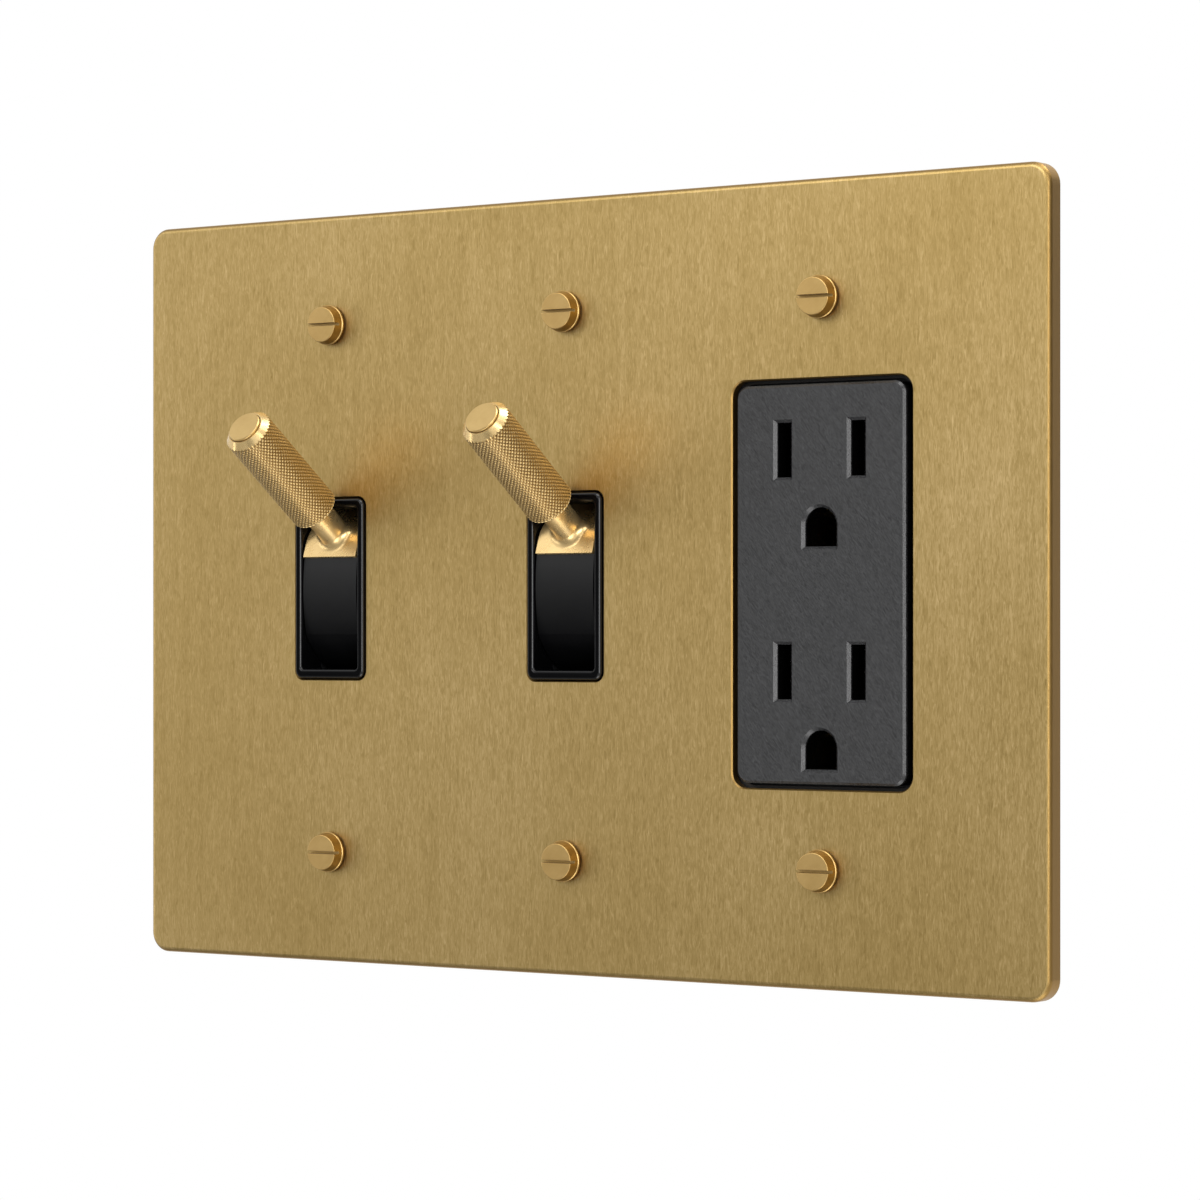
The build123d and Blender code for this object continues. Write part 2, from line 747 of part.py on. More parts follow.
# Back moulding of the switch: a tray with notches that clamp the terminal strips, a sunk panel and wire holes
def make_base(name, column):
    notch_depth = terminal_thickness
    half_case = case_width / 2
    with BuildPart() as base:
        with BuildSketch(facing_wall(column, parting_depth)):
            RectangleRounded(case_width, case_height, case_corner_radius)
        extrude(amount=base_depth)
        chamfer(base.faces().sort_by(Axis.Y)[-1].edges(), base_chamfer)
        with BuildSketch(facing_wall(column, parting_depth)):
            Rectangle(chamber_width, chamber_height)
        extrude(amount=chamber_depth, mode=Mode.SUBTRACT)
        with BuildSketch(facing_room(column, parting_depth + notch_depth)):
            with Locations((-half_case / 2, 0)):
                Rectangle(half_case, common_width + 2 * terminal_clearance)
            for place in (fixed_contact_place, -fixed_contact_place):
                with Locations((half_case / 2, place)):
                    Rectangle(half_case, traveller_width + 2 * terminal_clearance)
        extrude(amount=notch_depth, mode=Mode.SUBTRACT)
        with BuildSketch(facing_wall(column, parting_depth)):
            with Locations((0, case_screw_place), (0, -case_screw_place)):
                Circle(case_screw_radius + case_screw_clearance)
        extrude(amount=base_depth, mode=Mode.SUBTRACT)
        with BuildSketch(facing_room(column, case_depth)):
            with Locations((0, case_screw_place), (0, -case_screw_place)):
                Circle(case_screw_head_radius + case_screw_clearance)
        extrude(amount=case_screw_head_height, mode=Mode.SUBTRACT)
        with BuildSketch(facing_room(column, case_depth)):
            RectangleRounded(base_panel_width, base_panel_height, base_panel_radius)
        extrude(amount=base_panel_depth, mode=Mode.SUBTRACT)
        with BuildSketch(facing_room(column, case_depth)):
            for direction, place in terminal_screw_places:
                with Locations((direction * (half_case - wire_hole_inset), place)):
                    Circle(wire_hole_radius)
        extrude(amount=base_wire_depth, mode=Mode.SUBTRACT)
    save(base, name)


def make_switch(side, column):
    screw_line = [(0, case_screw_place), (0, -case_screw_place)]
    window = (
        bezel_width + 2 * window_clearance,
        bezel_height + 2 * window_clearance,
        bezel_corner_radius + window_clearance,
    )
    make_bezel(f"{side}_bezel", column)
    make_strap(
        f"{side}_strap", column, case_width, case_height, window, (screw_line, case_screw_radius)
    )
    make_ground_screw(f"{side}_ground_screw", column)
    make_housing(f"{side}_housing", column)
    make_base(f"{side}_housing_base", column)
    make_case_screws(
        f"{side}_case_screws",
        [(column + x, z) for x, z in screw_line],
        case_depth,
        -strap_thickness,
        (case_screw_head_radius, case_screw_head_height),
        case_screw_radius,
    )
    make_pivot_pin(f"{side}_pivot_pin", column)
    make_drum(f"{side}_drum", column)
    make_lever(f"{side}_lever", column)
    make_grip(f"{side}_grip", column)
    make_grip_cap(f"{side}_grip_cap", column)
    make_plunger(f"{side}_plunger", column)
    make_plunger_spring(f"{side}_plunger_spring", column)
    make_contact_rocker(f"{side}_contact_rocker", column)
    make_common_terminal(f"{side}_common_terminal", column)
    make_traveller_terminal(f"{side}_upper_terminal", column, 1)
    make_traveller_terminal(f"{side}_lower_terminal", column, -1)
    tab_outer = case_width / 2 + terminal_thickness
    make_binding_screws(
        f"{side}_terminal_screws",
        [
            (column + direction * tab_outer, direction, terminal_screw_depth, place)
            for direction, place in terminal_screw_places
        ],
    )


# Arch-topped opening of a ground hole, drawn about its middle
def ground_hole_outline():
    half_width = ground_hole_width / 2
    half_height = ground_hole_height / 2
    arch = half_height - half_width
    with BuildLine() as outline:
        Line((-half_width, arch), (-half_width, -half_height))
        Line((-half_width, -half_height), (half_width, -half_height))
        Line((half_width, -half_height), (half_width, arch))
        CenterArc((0, arch), half_width, 0, 180)
    make_face(outline.edges())


# Moulded front of the receptacle: a raised face on a shoulder, with bevelled blade slots and ground holes
def make_receptacle_face():
    front = -plate_thickness - face_proud
    depth = shoulder_depth - front
    with BuildPart() as face:
        with BuildSketch(facing_room(outlet_column, shoulder_depth)):
            RectangleRounded(body_width, body_height, body_corner_radius)
        extrude(amount=shoulder_depth)
        with BuildSketch(facing_room(outlet_column, 0)):
            RectangleRounded(face_width, face_height, face_corner_radius)
        extrude(amount=-front)
        chamfer(face.faces().sort_by(Axis.Y)[0].edges(), face_bevel)
        for height in outlet_slot_heights:
            with BuildSketch(facing_room(outlet_column, shoulder_depth, height)):
                with Locations((-slot_spacing / 2, 0), (slot_spacing / 2, 0)):
                    Rectangle(slot_width, slot_height)
            extrude(amount=depth, mode=Mode.SUBTRACT)
            hole_height = height - ground_hole_drop
            with BuildSketch(facing_room(outlet_column, shoulder_depth, hole_height)):
                ground_hole_outline()
            extrude(amount=depth, mode=Mode.SUBTRACT)
        chamfer(face.faces().sort_by(Axis.Y)[0].inner_wires().edges(), slot_bevel)
        with BuildSketch(facing_room(outlet_column, shoulder_depth)):
            with GridLocations(2 * assembly_screw_x, 2 * assembly_screw_z, 2, 2):
                Circle(assembly_screw_radius + assembly_clearance)
        extrude(amount=shoulder_depth, mode=Mode.SUBTRACT)
    save(face, "receptacle_face")


# Back moulding of the receptacle: a block with chambers for the two blade contacts and the ground contact
def make_receptacle_body():
    clip_half = clip_half_gap + clip_thickness + chamber_clearance
    chamber = contact_back - shoulder_depth + chamber_clearance
    blade_height = outlet_spacing + clip_height + 2 * chamber_clearance
    ground_half = ground_strip_half_width + chamber_clearance
    ground_low = -body_height / 2
    ground_high = outlet_slot_heights[0] - ground_drop + ground_leaf_height / 2 + chamber_clearance
    link_half = bus_link_width / 2 + terminal_clearance
    with BuildPart() as body:
        with BuildSketch(facing_wall(outlet_column, shoulder_depth)):
            RectangleRounded(body_width, body_height, body_corner_radius)
        extrude(amount=body_depth)
        chamfer(body.faces().sort_by(Axis.Y)[-1].edges(), body_chamfer)
        with BuildSketch(facing_room(outlet_column, shoulder_depth + chamber)):
            for direction in (-1, 1):
                with Locations((direction * slot_spacing / 2, bus_center_height)):
                    Rectangle(2 * clip_half, blade_height)
            strip_low = outlet_slot_heights[1] - ground_drop - ground_leaf_height / 2 - chamber_clearance
            with Locations((0, (strip_low + ground_high) / 2)):
                Rectangle(2 * ground_half, ground_high - strip_low)
        extrude(amount=chamber, mode=Mode.SUBTRACT)
        with BuildSketch(facing_room(outlet_column, shoulder_depth + terminal_thickness)):
            with Locations((0, bus_center_height)):
                Rectangle(body_width, 2 * link_half)
                Rectangle(slot_spacing, 2 * link_half, mode=Mode.SUBTRACT)
        extrude(amount=terminal_thickness, mode=Mode.SUBTRACT)
        with BuildSketch(facing_room(outlet_column, contact_back + terminal_clearance)):
            with Locations((0, (ground_low + strip_low) / 2)):
                Rectangle(2 * ground_half, strip_low - ground_low)
        extrude(amount=clip_thickness + 2 * terminal_clearance, mode=Mode.SUBTRACT)
        with BuildSketch(facing_room(outlet_column, outlet_back)):
            with GridLocations(2 * assembly_screw_x, 2 * assembly_screw_z, 2, 2):
                Circle(assembly_screw_radius + assembly_clearance)
        extrude(amount=body_depth, mode=Mode.SUBTRACT)
        with BuildSketch(facing_room(outlet_column, outlet_back)):
            with GridLocations(2 * assembly_screw_x, 2 * assembly_screw_z, 2, 2):
                Circle(assembly_head_radius + assembly_clearance)
        extrude(amount=assembly_head_height + body_chamfer, mode=Mode.SUBTRACT)
        for direction in (-1, 1):
            edge = outlet_column + direction * body_width / 2
            for offset_height in (-bus_screw_spacing / 2, bus_screw_spacing / 2):
                height = bus_center_height + offset_height
                with BuildSketch(facing_right(edge, shoulder_depth + bus_screw_depth, height)):
                    Circle(binding_shank_radius + 2 * binding_clearance)
                extrude(amount=-direction * binding_shank_length, mode=Mode.SUBTRACT)
        with BuildSketch(facing_room(outlet_column, outlet_back, bus_center_height)):
            with GridLocations(body_width - 2 * wire_hole_inset, bus_screw_spacing, 2, 2):
                Circle(wire_hole_radius)
        extrude(amount=wire_hole_depth, mode=Mode.SUBTRACT)
    save(body, "receptacle_body")


# One side of a blade clip from its closed end to its flared lip, as a strip drawn from the clip's middle
def blade_leaf(direction):
    mouth = shoulder_depth + terminal_thickness
    waist = mouth + clip_reach / 4
    knee = mouth + clip_reach / 2
    bottom = contact_back - clip_thickness
    inner = [
        (0, bottom),
        (direction * clip_half_gap, bottom),
        (direction * clip_half_gap, knee),
        (direction * clip_pinch, waist),
        (direction * clip_lip, mouth),
    ]
    outer = [
        (direction * (clip_lip + clip_thickness), mouth),
        (direction * (clip_pinch + clip_thickness), waist),
        (direction * (clip_half_gap + clip_thickness), knee),
        (direction * (clip_half_gap + clip_thickness), contact_back),
        (0, contact_back),
    ]
    with BuildLine() as outline:
        Polyline(*inner, *outer, close=True)
    make_face(outline.edges())


# Blade contact: two spring clips on one spine, a link out to the side and a wiring tab with a break-off notch
def make_blade_contact(name, direction):
    center = outlet_column + direction * slot_spacing / 2
    spine_inner = clip_half_gap
    spine_outer = clip_half_gap + clip_thickness
    tab_outer = body_width / 2 + terminal_thickness
    tab_back = shoulder_depth + bus_tab_reach
    with BuildPart() as contact:
        for height in outlet_slot_heights:
            with BuildSketch(level(center, height)):
                blade_leaf(1)
                blade_leaf(-1)
            extrude(amount=clip_height / 2, both=True)
        with BuildSketch(facing_room(center, contact_back, bus_center_height)):
            with Locations((direction * (spine_inner + spine_outer) / 2, 0)):
                Rectangle(clip_thickness, outlet_spacing)
        extrude(amount=clip_reach / 2)
        with BuildSketch(facing_room(center, contact_back, bus_center_height)):
            with Locations((direction * (spine_inner + spine_outer) / 2, 0)):
                Rectangle(clip_thickness, bus_link_width)
        extrude(amount=contact_back - shoulder_depth)
        link_start = slot_spacing / 2 + spine_inner
        with BuildSketch(facing_room(outlet_column, shoulder_depth + terminal_thickness, bus_center_height)):
            with Locations((direction * (link_start + tab_outer) / 2, 0)):
                Rectangle(tab_outer - link_start, bus_link_width)
        extrude(amount=terminal_thickness)
        with BuildSketch(facing_room(outlet_column, tab_back, bus_center_height)):
            with Locations((direction * (tab_outer - terminal_thickness / 2), 0)):
                Rectangle(terminal_thickness, 2 * bus_tab_half_height)
        extrude(amount=bus_tab_reach)
        tab_face = outlet_column + direction * tab_outer
        notch_depth = tab_back - bus_notch_depth / 2
        with BuildSketch(facing_right(tab_face, notch_depth, bus_center_height)):
            Rectangle(bus_notch_depth, bus_notch_width)
        extrude(amount=-direction * terminal_thickness, mode=Mode.SUBTRACT)
        for offset_height in (-bus_screw_spacing / 2, bus_screw_spacing / 2):
            height = bus_center_height + offset_height
            with BuildSketch(facing_right(tab_face, shoulder_depth + bus_screw_depth, height)):
                Circle(binding_shank_radius + binding_clearance)
            extrude(amount=-direction * terminal_thickness, mode=Mode.SUBTRACT)
    save(contact, name)


# Ground contact: a strip behind both ground holes with two leaves at each, and a leg forward to the strap
def make_ground_contact():
    low = -body_height / 2 - clip_thickness
    high = outlet_slot_heights[0] - ground_drop + ground_leaf_height / 2
    leaf_center = ground_leaf_gap + clip_thickness / 2
    leaf_front = shoulder_depth + terminal_thickness
    with BuildPart() as contact:
        with BuildSketch(facing_room(outlet_column, contact_back)):
            with Locations((0, (low + high) / 2)):
                Rectangle(2 * ground_strip_half_width, high - low)
        extrude(amount=clip_thickness)
        for height in outlet_slot_heights:
            with BuildSketch(facing_room(outlet_column, contact_back, height - ground_drop)):
                with Locations((-leaf_center, 0), (leaf_center, 0)):
                    Rectangle(clip_thickness, ground_leaf_height)
            extrude(amount=contact_back - leaf_front)
        with BuildSketch(facing_room(outlet_column, contact_back)):
            with Locations((0, low + clip_thickness / 2)):
                Rectangle(2 * ground_strip_half_width, clip_thickness)
        extrude(amount=contact_back)
    save(contact, "receptacle_ground_contact")


def make_receptacle():
    corners = [
        (x, z)
        for x in (-assembly_screw_x, assembly_screw_x)
        for z in (-assembly_screw_z, assembly_screw_z)
    ]
    window = (
        face_width + 2 * window_clearance,
        face_height + 2 * window_clearance,
        face_corner_radius + window_clearance,
    )
    make_receptacle_face()
    make_receptacle_body()
    make_strap(
        "receptacle_strap",
        outlet_column,
        body_width,
        body_height,
        window,
        (corners, assembly_screw_radius),
    )
    make_ground_screw("receptacle_ground_screw", outlet_column)
    make_blade_contact("receptacle_line_contact", 1)
    make_blade_contact("receptacle_neutral_contact", -1)
    make_ground_contact()
    tab_outer = body_width / 2 + terminal_thickness
    for name, direction in (("line", 1), ("neutral", -1)):
        make_binding_screws(
            f"receptacle_{name}_screws",
            [
                (
                    outlet_column + direction * tab_outer,
                    direction,
                    shoulder_depth + bus_screw_depth,
                    bus_center_height + offset_height,
                )
                for offset_height in (-bus_screw_spacing / 2, bus_screw_spacing / 2)
            ],
        )
    make_case_screws(
        "receptacle_case_screws",
        [(outlet_column + x, z) for x, z in corners],
        outlet_back - body_chamfer,
        -strap_thickness,
        (assembly_head_radius, assembly_head_height),
        assembly_screw_radius,
    )


os.makedirs("parts", exist_ok=True)
make_face_plate()
make_cover_screws()
for side_name, column_place in switch_columns.items():
    make_switch(side_name, column_place)
make_receptacle()
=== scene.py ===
import json
import math

import bmesh
import bpy
from mathutils import Matrix, Vector


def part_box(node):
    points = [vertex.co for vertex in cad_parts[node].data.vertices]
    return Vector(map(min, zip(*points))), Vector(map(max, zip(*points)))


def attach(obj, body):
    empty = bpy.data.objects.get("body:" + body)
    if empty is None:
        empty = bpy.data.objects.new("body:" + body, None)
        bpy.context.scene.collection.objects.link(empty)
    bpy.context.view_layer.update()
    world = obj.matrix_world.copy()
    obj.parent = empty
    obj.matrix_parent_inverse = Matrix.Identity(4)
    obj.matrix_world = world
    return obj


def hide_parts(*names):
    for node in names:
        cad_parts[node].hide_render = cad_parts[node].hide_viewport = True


# Brushed brass wall plate with two knurled toggle switches and a duplex outlet.
# The frame is in metres: X to the right, Z up, Y into the wall, the room at negative Y.
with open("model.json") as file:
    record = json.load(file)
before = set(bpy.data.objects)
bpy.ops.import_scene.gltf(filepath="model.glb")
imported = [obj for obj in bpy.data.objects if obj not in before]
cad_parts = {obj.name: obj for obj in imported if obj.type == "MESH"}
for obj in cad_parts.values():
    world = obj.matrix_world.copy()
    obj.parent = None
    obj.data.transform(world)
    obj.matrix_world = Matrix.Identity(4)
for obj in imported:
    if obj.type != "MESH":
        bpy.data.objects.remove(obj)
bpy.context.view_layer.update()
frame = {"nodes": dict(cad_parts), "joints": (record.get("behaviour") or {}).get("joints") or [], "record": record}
cadNodes = frame["nodes"]
joints = {joint["name"]: joint for joint in frame["joints"]}
mm = 0.001
samePlace = 1e-6                  # metres: corners nearer than this count as together
weldGap = 1e-7                    # and nearer than this they are merged
switchSides = ("left", "middle")


# Small tools

def linear(hexColour):  # sRGB hex to the linear colour that shaders take
    channels = [int(hexColour[i:i + 2], 16) / 255 for i in (1, 3, 5)]
    return [c / 12.92 if c <= 0.04045 else ((c + 0.055) / 1.055) ** 2.4 for c in channels] + [1.0]


def addNode(tree, kind, settings=(), **inputs):  # inputs go by socket name, with _ for a space, or by place as in0
    node = tree.nodes.new(kind)
    for name, value in dict(settings).items():
        setattr(node, name, value)
    for name, value in inputs.items():
        if name.startswith("in"):
            socket = node.inputs[int(name[2:])]
        else:
            socket = node.inputs[name.replace("_", " ")]
        if isinstance(value, bpy.types.NodeSocket):
            tree.links.new(value, socket)
        else:
            socket.default_value = value
    return node


def newMaterial(name, **sockets):  # a principled material with its constants set on the shader itself
    material = bpy.data.materials.new(name)
    material.use_nodes = True
    tree = material.node_tree
    shader = tree.nodes["Principled BSDF"]
    for socketName, value in sockets.items():
        shader.inputs[socketName.replace("_", " ")].default_value = value
    return material, tree, shader


def rampColours(ramp, stops):  # stops are (place, sRGB hex)
    elements = ramp.color_ramp.elements
    while len(elements) < len(stops):
        elements.new(0.5)
    for element, (place, colour) in zip(elements, stops):
        element.position = place
        element.color = linear(colour)


def flatToWall(tree, normal):  # 1 on faces that lie along the wall, 0 on sides that stand out from it
    facing = addNode(tree, "ShaderNodeSeparateXYZ", Vector=normal)
    return addNode(tree, "ShaderNodeMath", {"operation": "ABSOLUTE"}, in0=facing.outputs["Y"]).outputs[0]


def leverLine(side):  # a lever's pivot and the way it points
    pivot = Vector(joints[f"{side}_toggle_throw"]["pos_m"])
    capLow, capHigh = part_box(f"{side}_grip_cap")
    return pivot, ((capLow + capHigh) / 2 - pivot).normalized()


# Finishes

noiseEnds = (0.3, 0.7)            # most of a noise's values lie between these
noiseSpan = {"From_Min": noiseEnds[0], "From_Max": noiseEnds[1]}

plateFinish = {
    "grainWidth": 0.3 * mm,       # one brushed line, drawn a little coarse so that it shows
    "grainLength": 1.8 * mm,
    "grainWander": 1.3,           # how much the lines waver
    "grainDepth": 0.01 * mm,
    "grainRelief": 0.35,          # share of that depth that shows
    "streakWidth": 1.6 * mm,      # bands left by the belt
    "streakLength": 30 * mm,
    "streakShare": 0.15,
    "cloudSize": 45 * mm,         # slow change of tone in the lacquer
    "cloudShare": 0.25,
    "colours": ((0.3, "#9f844c"), (0.5, "#b59a62"), (0.7, "#cbb07c")),
    "roughness": (0.36, 0.46),
    "shadedEdgeColours": ((0.3, "#9c7b45"), (0.6, "#8a6f40")),  # painted shade: darker sawn edges, and a dimmed highlight on their rounding towards the face
    "edgeTurn": (0.95, 0.8),      # flatToWall where the face's colour ends and where the edges' painted shade begins
}


def brushedBrass():
    # Solid brass brushed from top to bottom and lacquered: short upright lines, a wide soft sheen, and painted shade
    # on the sawn edges
    f = plateFinish
    material, tree, shader = newMaterial("brushedBrass", Metallic=1.0)
    coordinates = addNode(tree, "ShaderNodeTexCoord")
    place = coordinates.outputs["Object"]
    sideways, upright = 1 / f["grainWidth"], 1 / f["grainLength"]
    grainPlace = addNode(tree, "ShaderNodeMapping", Vector=place, Scale=(sideways, sideways, upright))
    grain = addNode(tree, "ShaderNodeTexNoise", Vector=grainPlace.outputs[0], Scale=1.0, Detail=3.0,
                    Roughness=0.6, Distortion=f["grainWander"])
    sideways, upright = 1 / f["streakWidth"], 1 / f["streakLength"]
    streakPlace = addNode(tree, "ShaderNodeMapping", Vector=place, Scale=(sideways, sideways, upright))
    streak = addNode(tree, "ShaderNodeTexNoise", Vector=streakPlace.outputs[0], Scale=1.0, Detail=2.0)
    cloud = addNode(tree, "ShaderNodeTexNoise", Vector=place, Scale=1 / f["cloudSize"], Detail=2.0)
    lines = addNode(tree, "ShaderNodeMix", {"data_type": "FLOAT"}, in0=f["streakShare"], in2=grain.outputs[0],
                    in3=streak.outputs[0])
    tone = addNode(tree, "ShaderNodeMix", {"data_type": "FLOAT"}, in0=f["cloudShare"], in2=lines.outputs[0],
                   in3=cloud.outputs[0])
    brushed = addNode(tree, "ShaderNodeValToRGB", Fac=tone.outputs[0])
    rampColours(brushed, f["colours"])
    # painted shade: sides and their rounding turn darker the further they turn from the wall's plane
    flatness = flatToWall(tree, coordinates.outputs["Normal"])
    edge = addNode(tree, "ShaderNodeMapRange", Value=flatness, From_Min=f["edgeTurn"][0], From_Max=f["edgeTurn"][1])
    edgeShade = addNode(tree, "ShaderNodeValToRGB", Fac=flatness)
    rampColours(edgeShade, f["shadedEdgeColours"])
    colour = addNode(tree, "ShaderNodeMix", {"data_type": "RGBA"}, in0=edge.outputs[0], in6=brushed.outputs[0],
                     in7=edgeShade.outputs[0])
    rough = addNode(tree, "ShaderNodeMapRange", Value=lines.outputs[0], **noiseSpan,
                    To_Min=f["roughness"][0], To_Max=f["roughness"][1])
    bump = addNode(tree, "ShaderNodeBump", Height=grain.outputs[0], Strength=f["grainRelief"],
                   Distance=f["grainDepth"])
    tree.links.new(colour.outputs[2], shader.inputs["Base Color"])
    tree.links.new(rough.outputs[0], shader.inputs["Roughness"])
    tree.links.new(bump.outputs[0], shader.inputs["Normal"])
    return material


turnedFinish = {
    "cloudSize": 3.0 * mm,
    "scratchWidth": 0.2 * mm,     # polishing lines, drawn coarse so that they show
    "scratchLength": 4.0 * mm,
    "scratchTurn": -0.8,          # radians about Y
    "scratchShare": 0.25,
    "shadedSideTurn": (0.5, 0.3),       # flatToWall where the face's colour ends and where the sides' painted shade begins
}


def turnedBrass(name, colours, roughness, metallic, shadedSideColour=None):
    # Turned brass, polished on a wheel and lacquered: bright soft reflections and faint slanting polishing lines
    f = turnedFinish
    material, tree, shader = newMaterial(name, Metallic=metallic)  # the lacquer scatters the rest
    coordinates = addNode(tree, "ShaderNodeTexCoord")
    place = coordinates.outputs["Object"]
    cloud = addNode(tree, "ShaderNodeTexNoise", Vector=place, Scale=1 / f["cloudSize"], Detail=3.0, Roughness=0.6)
    across, along = f["scratchWidth"], f["scratchLength"]
    slanted = addNode(tree, "ShaderNodeMapping", {"vector_type": "TEXTURE"}, Vector=place,
                      Rotation=(0, f["scratchTurn"], 0), Scale=(along, across, across))
    scratch = addNode(tree, "ShaderNodeTexNoise", Vector=slanted.outputs[0], Scale=1.0, Detail=2.0)
    tone = addNode(tree, "ShaderNodeMix", {"data_type": "FLOAT"}, in0=f["scratchShare"], in2=cloud.outputs[0],
                   in3=scratch.outputs[0])
    turned = addNode(tree, "ShaderNodeValToRGB", Fac=tone.outputs[0])
    rampColours(turned, list(zip(noiseEnds, colours)))
    colour = turned.outputs[0]
    # painted shade: sides that stand out from the wall turn to a darker colour
    if shadedSideColour:
        flatness = flatToWall(tree, coordinates.outputs["Normal"])
        side = addNode(tree, "ShaderNodeMapRange", Value=flatness, From_Min=f["shadedSideTurn"][0],
                       From_Max=f["shadedSideTurn"][1])
        mixed = addNode(tree, "ShaderNodeMix", {"data_type": "RGBA"}, in0=side.outputs[0], in6=colour,
                        in7=linear(shadedSideColour))
        colour = mixed.outputs[2]
    rough = addNode(tree, "ShaderNodeMapRange", Value=tone.outputs[0], **noiseSpan, To_Min=roughness[0],
                    To_Max=roughness[1])
    tree.links.new(colour, shader.inputs["Base Color"])
    tree.links.new(rough.outputs[0], shader.inputs["Roughness"])
    return material


knurlFinish = {
    "colours": ("#c9ac74", "#d9bd86"),
    "roughness": (0.2, 0.28),
    "metallic": 0.75,
    # painted shade in the grooves
    "grooveShade": "#6e5225",
}


def grooveShadedKnurl():
    # Knurled brass: bright rounded points between grooves darkened by painted shade
    f = knurlFinish
    material = turnedBrass("knurledBrass", f["colours"], f["roughness"], f["metallic"])
    tree = material.node_tree
    base = tree.nodes["Principled BSDF"].inputs["Base Color"]
    # painted shade: the deeper the mesh is sunk, the darker the colour
    sunk = addNode(tree, "ShaderNodeAttribute", {"attribute_name": "sunk"})
    colour = addNode(tree, "ShaderNodeMix", {"data_type": "RGBA"}, in0=sunk.outputs["Fac"],
                     in6=base.links[0].from_socket, in7=linear(f["grooveShade"]))
    tree.links.new(colour.outputs[2], base)
    return material


mouldedFinish = {
    "cloudSize": 20,              # times the grit
    "cloudShare": 0.5,
    "toneEnds": (0.35, 0.65),
    "relief": 0.4,                # share of the grit's depth that shows
}


def mouldedPlastic(name, colours, roughness, grit, depth):
    # Moulded plastic or a baked black coat: a fine grit, from the tool or the paint, a little uneven in tone
    f = mouldedFinish
    material, tree, shader = newMaterial(name, IOR=1.5)
    place = addNode(tree, "ShaderNodeTexCoord").outputs["Object"]
    texture = addNode(tree, "ShaderNodeTexNoise", Vector=place, Scale=1 / grit, Detail=3.0, Roughness=0.55)
    cloud = addNode(tree, "ShaderNodeTexNoise", Vector=place, Scale=1 / (f["cloudSize"] * grit), Detail=2.0)
    tone = addNode(tree, "ShaderNodeMix", {"data_type": "FLOAT"}, in0=f["cloudShare"], in2=texture.outputs[0],
                   in3=cloud.outputs[0])
    colour = addNode(tree, "ShaderNodeValToRGB", Fac=tone.outputs[0])
    rampColours(colour, list(zip(f["toneEnds"], colours)))
    rough = addNode(tree, "ShaderNodeMapRange", Value=texture.outputs[0], **noiseSpan, To_Min=roughness[0],
                    To_Max=roughness[1])
    bump = addNode(tree, "ShaderNodeBump", Height=texture.outputs[0], Strength=f["relief"], Distance=depth)
    tree.links.new(colour.outputs[0], shader.inputs["Base Color"])
    tree.links.new(rough.outputs[0], shader.inputs["Roughness"])
    tree.links.new(bump.outputs[0], shader.inputs["Normal"])
    return material


bezelFinish = {
    "colours": ("#040405", "#070708"),
    "roughness": (0.12, 0.18),
    "grit": 0.3 * mm,
    "depth": 0.001 * mm,
    "edgeTurn": (-0.98, -0.8),    # the Y part of the normal, on the faces and on the rounded edges
    "specular": (0.05, 0.4),      # on the faces and on the edges
}


def glossAbs():
    # Polished ABS: faces near black, with thin bright lines along the rounded edges, where a painted reflection
    # strength makes the edges shine more than the faces
    f = bezelFinish
    material = mouldedPlastic("glossBlackAbs", f["colours"], f["roughness"], f["grit"], f["depth"])
    tree = material.node_tree
    # painted reflection: weak on the faces, strong on the rounded edges
    normal = addNode(tree, "ShaderNodeTexCoord").outputs["Normal"]
    facing = addNode(tree, "ShaderNodeSeparateXYZ", Vector=normal)
    edge = addNode(tree, "ShaderNodeMapRange", Value=facing.outputs["Y"], From_Min=f["edgeTurn"][0],
                   From_Max=f["edgeTurn"][1], To_Min=f["specular"][0], To_Max=f["specular"][1])
    tree.links.new(edge.outputs[0], tree.nodes["Principled BSDF"].inputs["Specular IOR Level"])
    return material


drumFinish = {
    "colours": ("#050506", "#09090a"),
    "roughness": (0.4, 0.48),
    "grit": 0.2 * mm,
    "depth": 0.003 * mm,
    "saddle": 12.8 * mm,          # from the pivot along the lever: the drum beside the saddle
    "end": 5.9 * mm,              # where its face ends
    "specular": (0.05, 0.3),      # at the end and beside the saddle
}


def sheenPaintedAcetal():
    # Satin acetal: near black, with a painted sheen beside the lever, a soft light that fades towards the drum's ends
    f = drumFinish
    material = mouldedPlastic("satinBlackAcetal", f["colours"], f["roughness"], f["grit"], f["depth"])
    tree = material.node_tree
    place = addNode(tree, "ShaderNodeTexCoord").outputs["Object"]
    pivot, leverAxis = leverLine(switchSides[0])  # both levers lie alike, so one line serves both
    fromPivot = addNode(tree, "ShaderNodeVectorMath", {"operation": "SUBTRACT"}, in0=place, in1=pivot)
    along = addNode(tree, "ShaderNodeVectorMath", {"operation": "DOT_PRODUCT"}, in0=fromPivot.outputs[0],
                    in1=leverAxis)
    # painted sheen: the reflection grows from the drum's end towards the saddle
    sheen = addNode(tree, "ShaderNodeMapRange", Value=along.outputs["Value"], From_Min=f["end"],
                    From_Max=f["saddle"], To_Min=f["specular"][0], To_Max=f["specular"][1])
    tree.links.new(sheen.outputs[0], tree.nodes["Principled BSDF"].inputs["Specular IOR Level"])
    return material


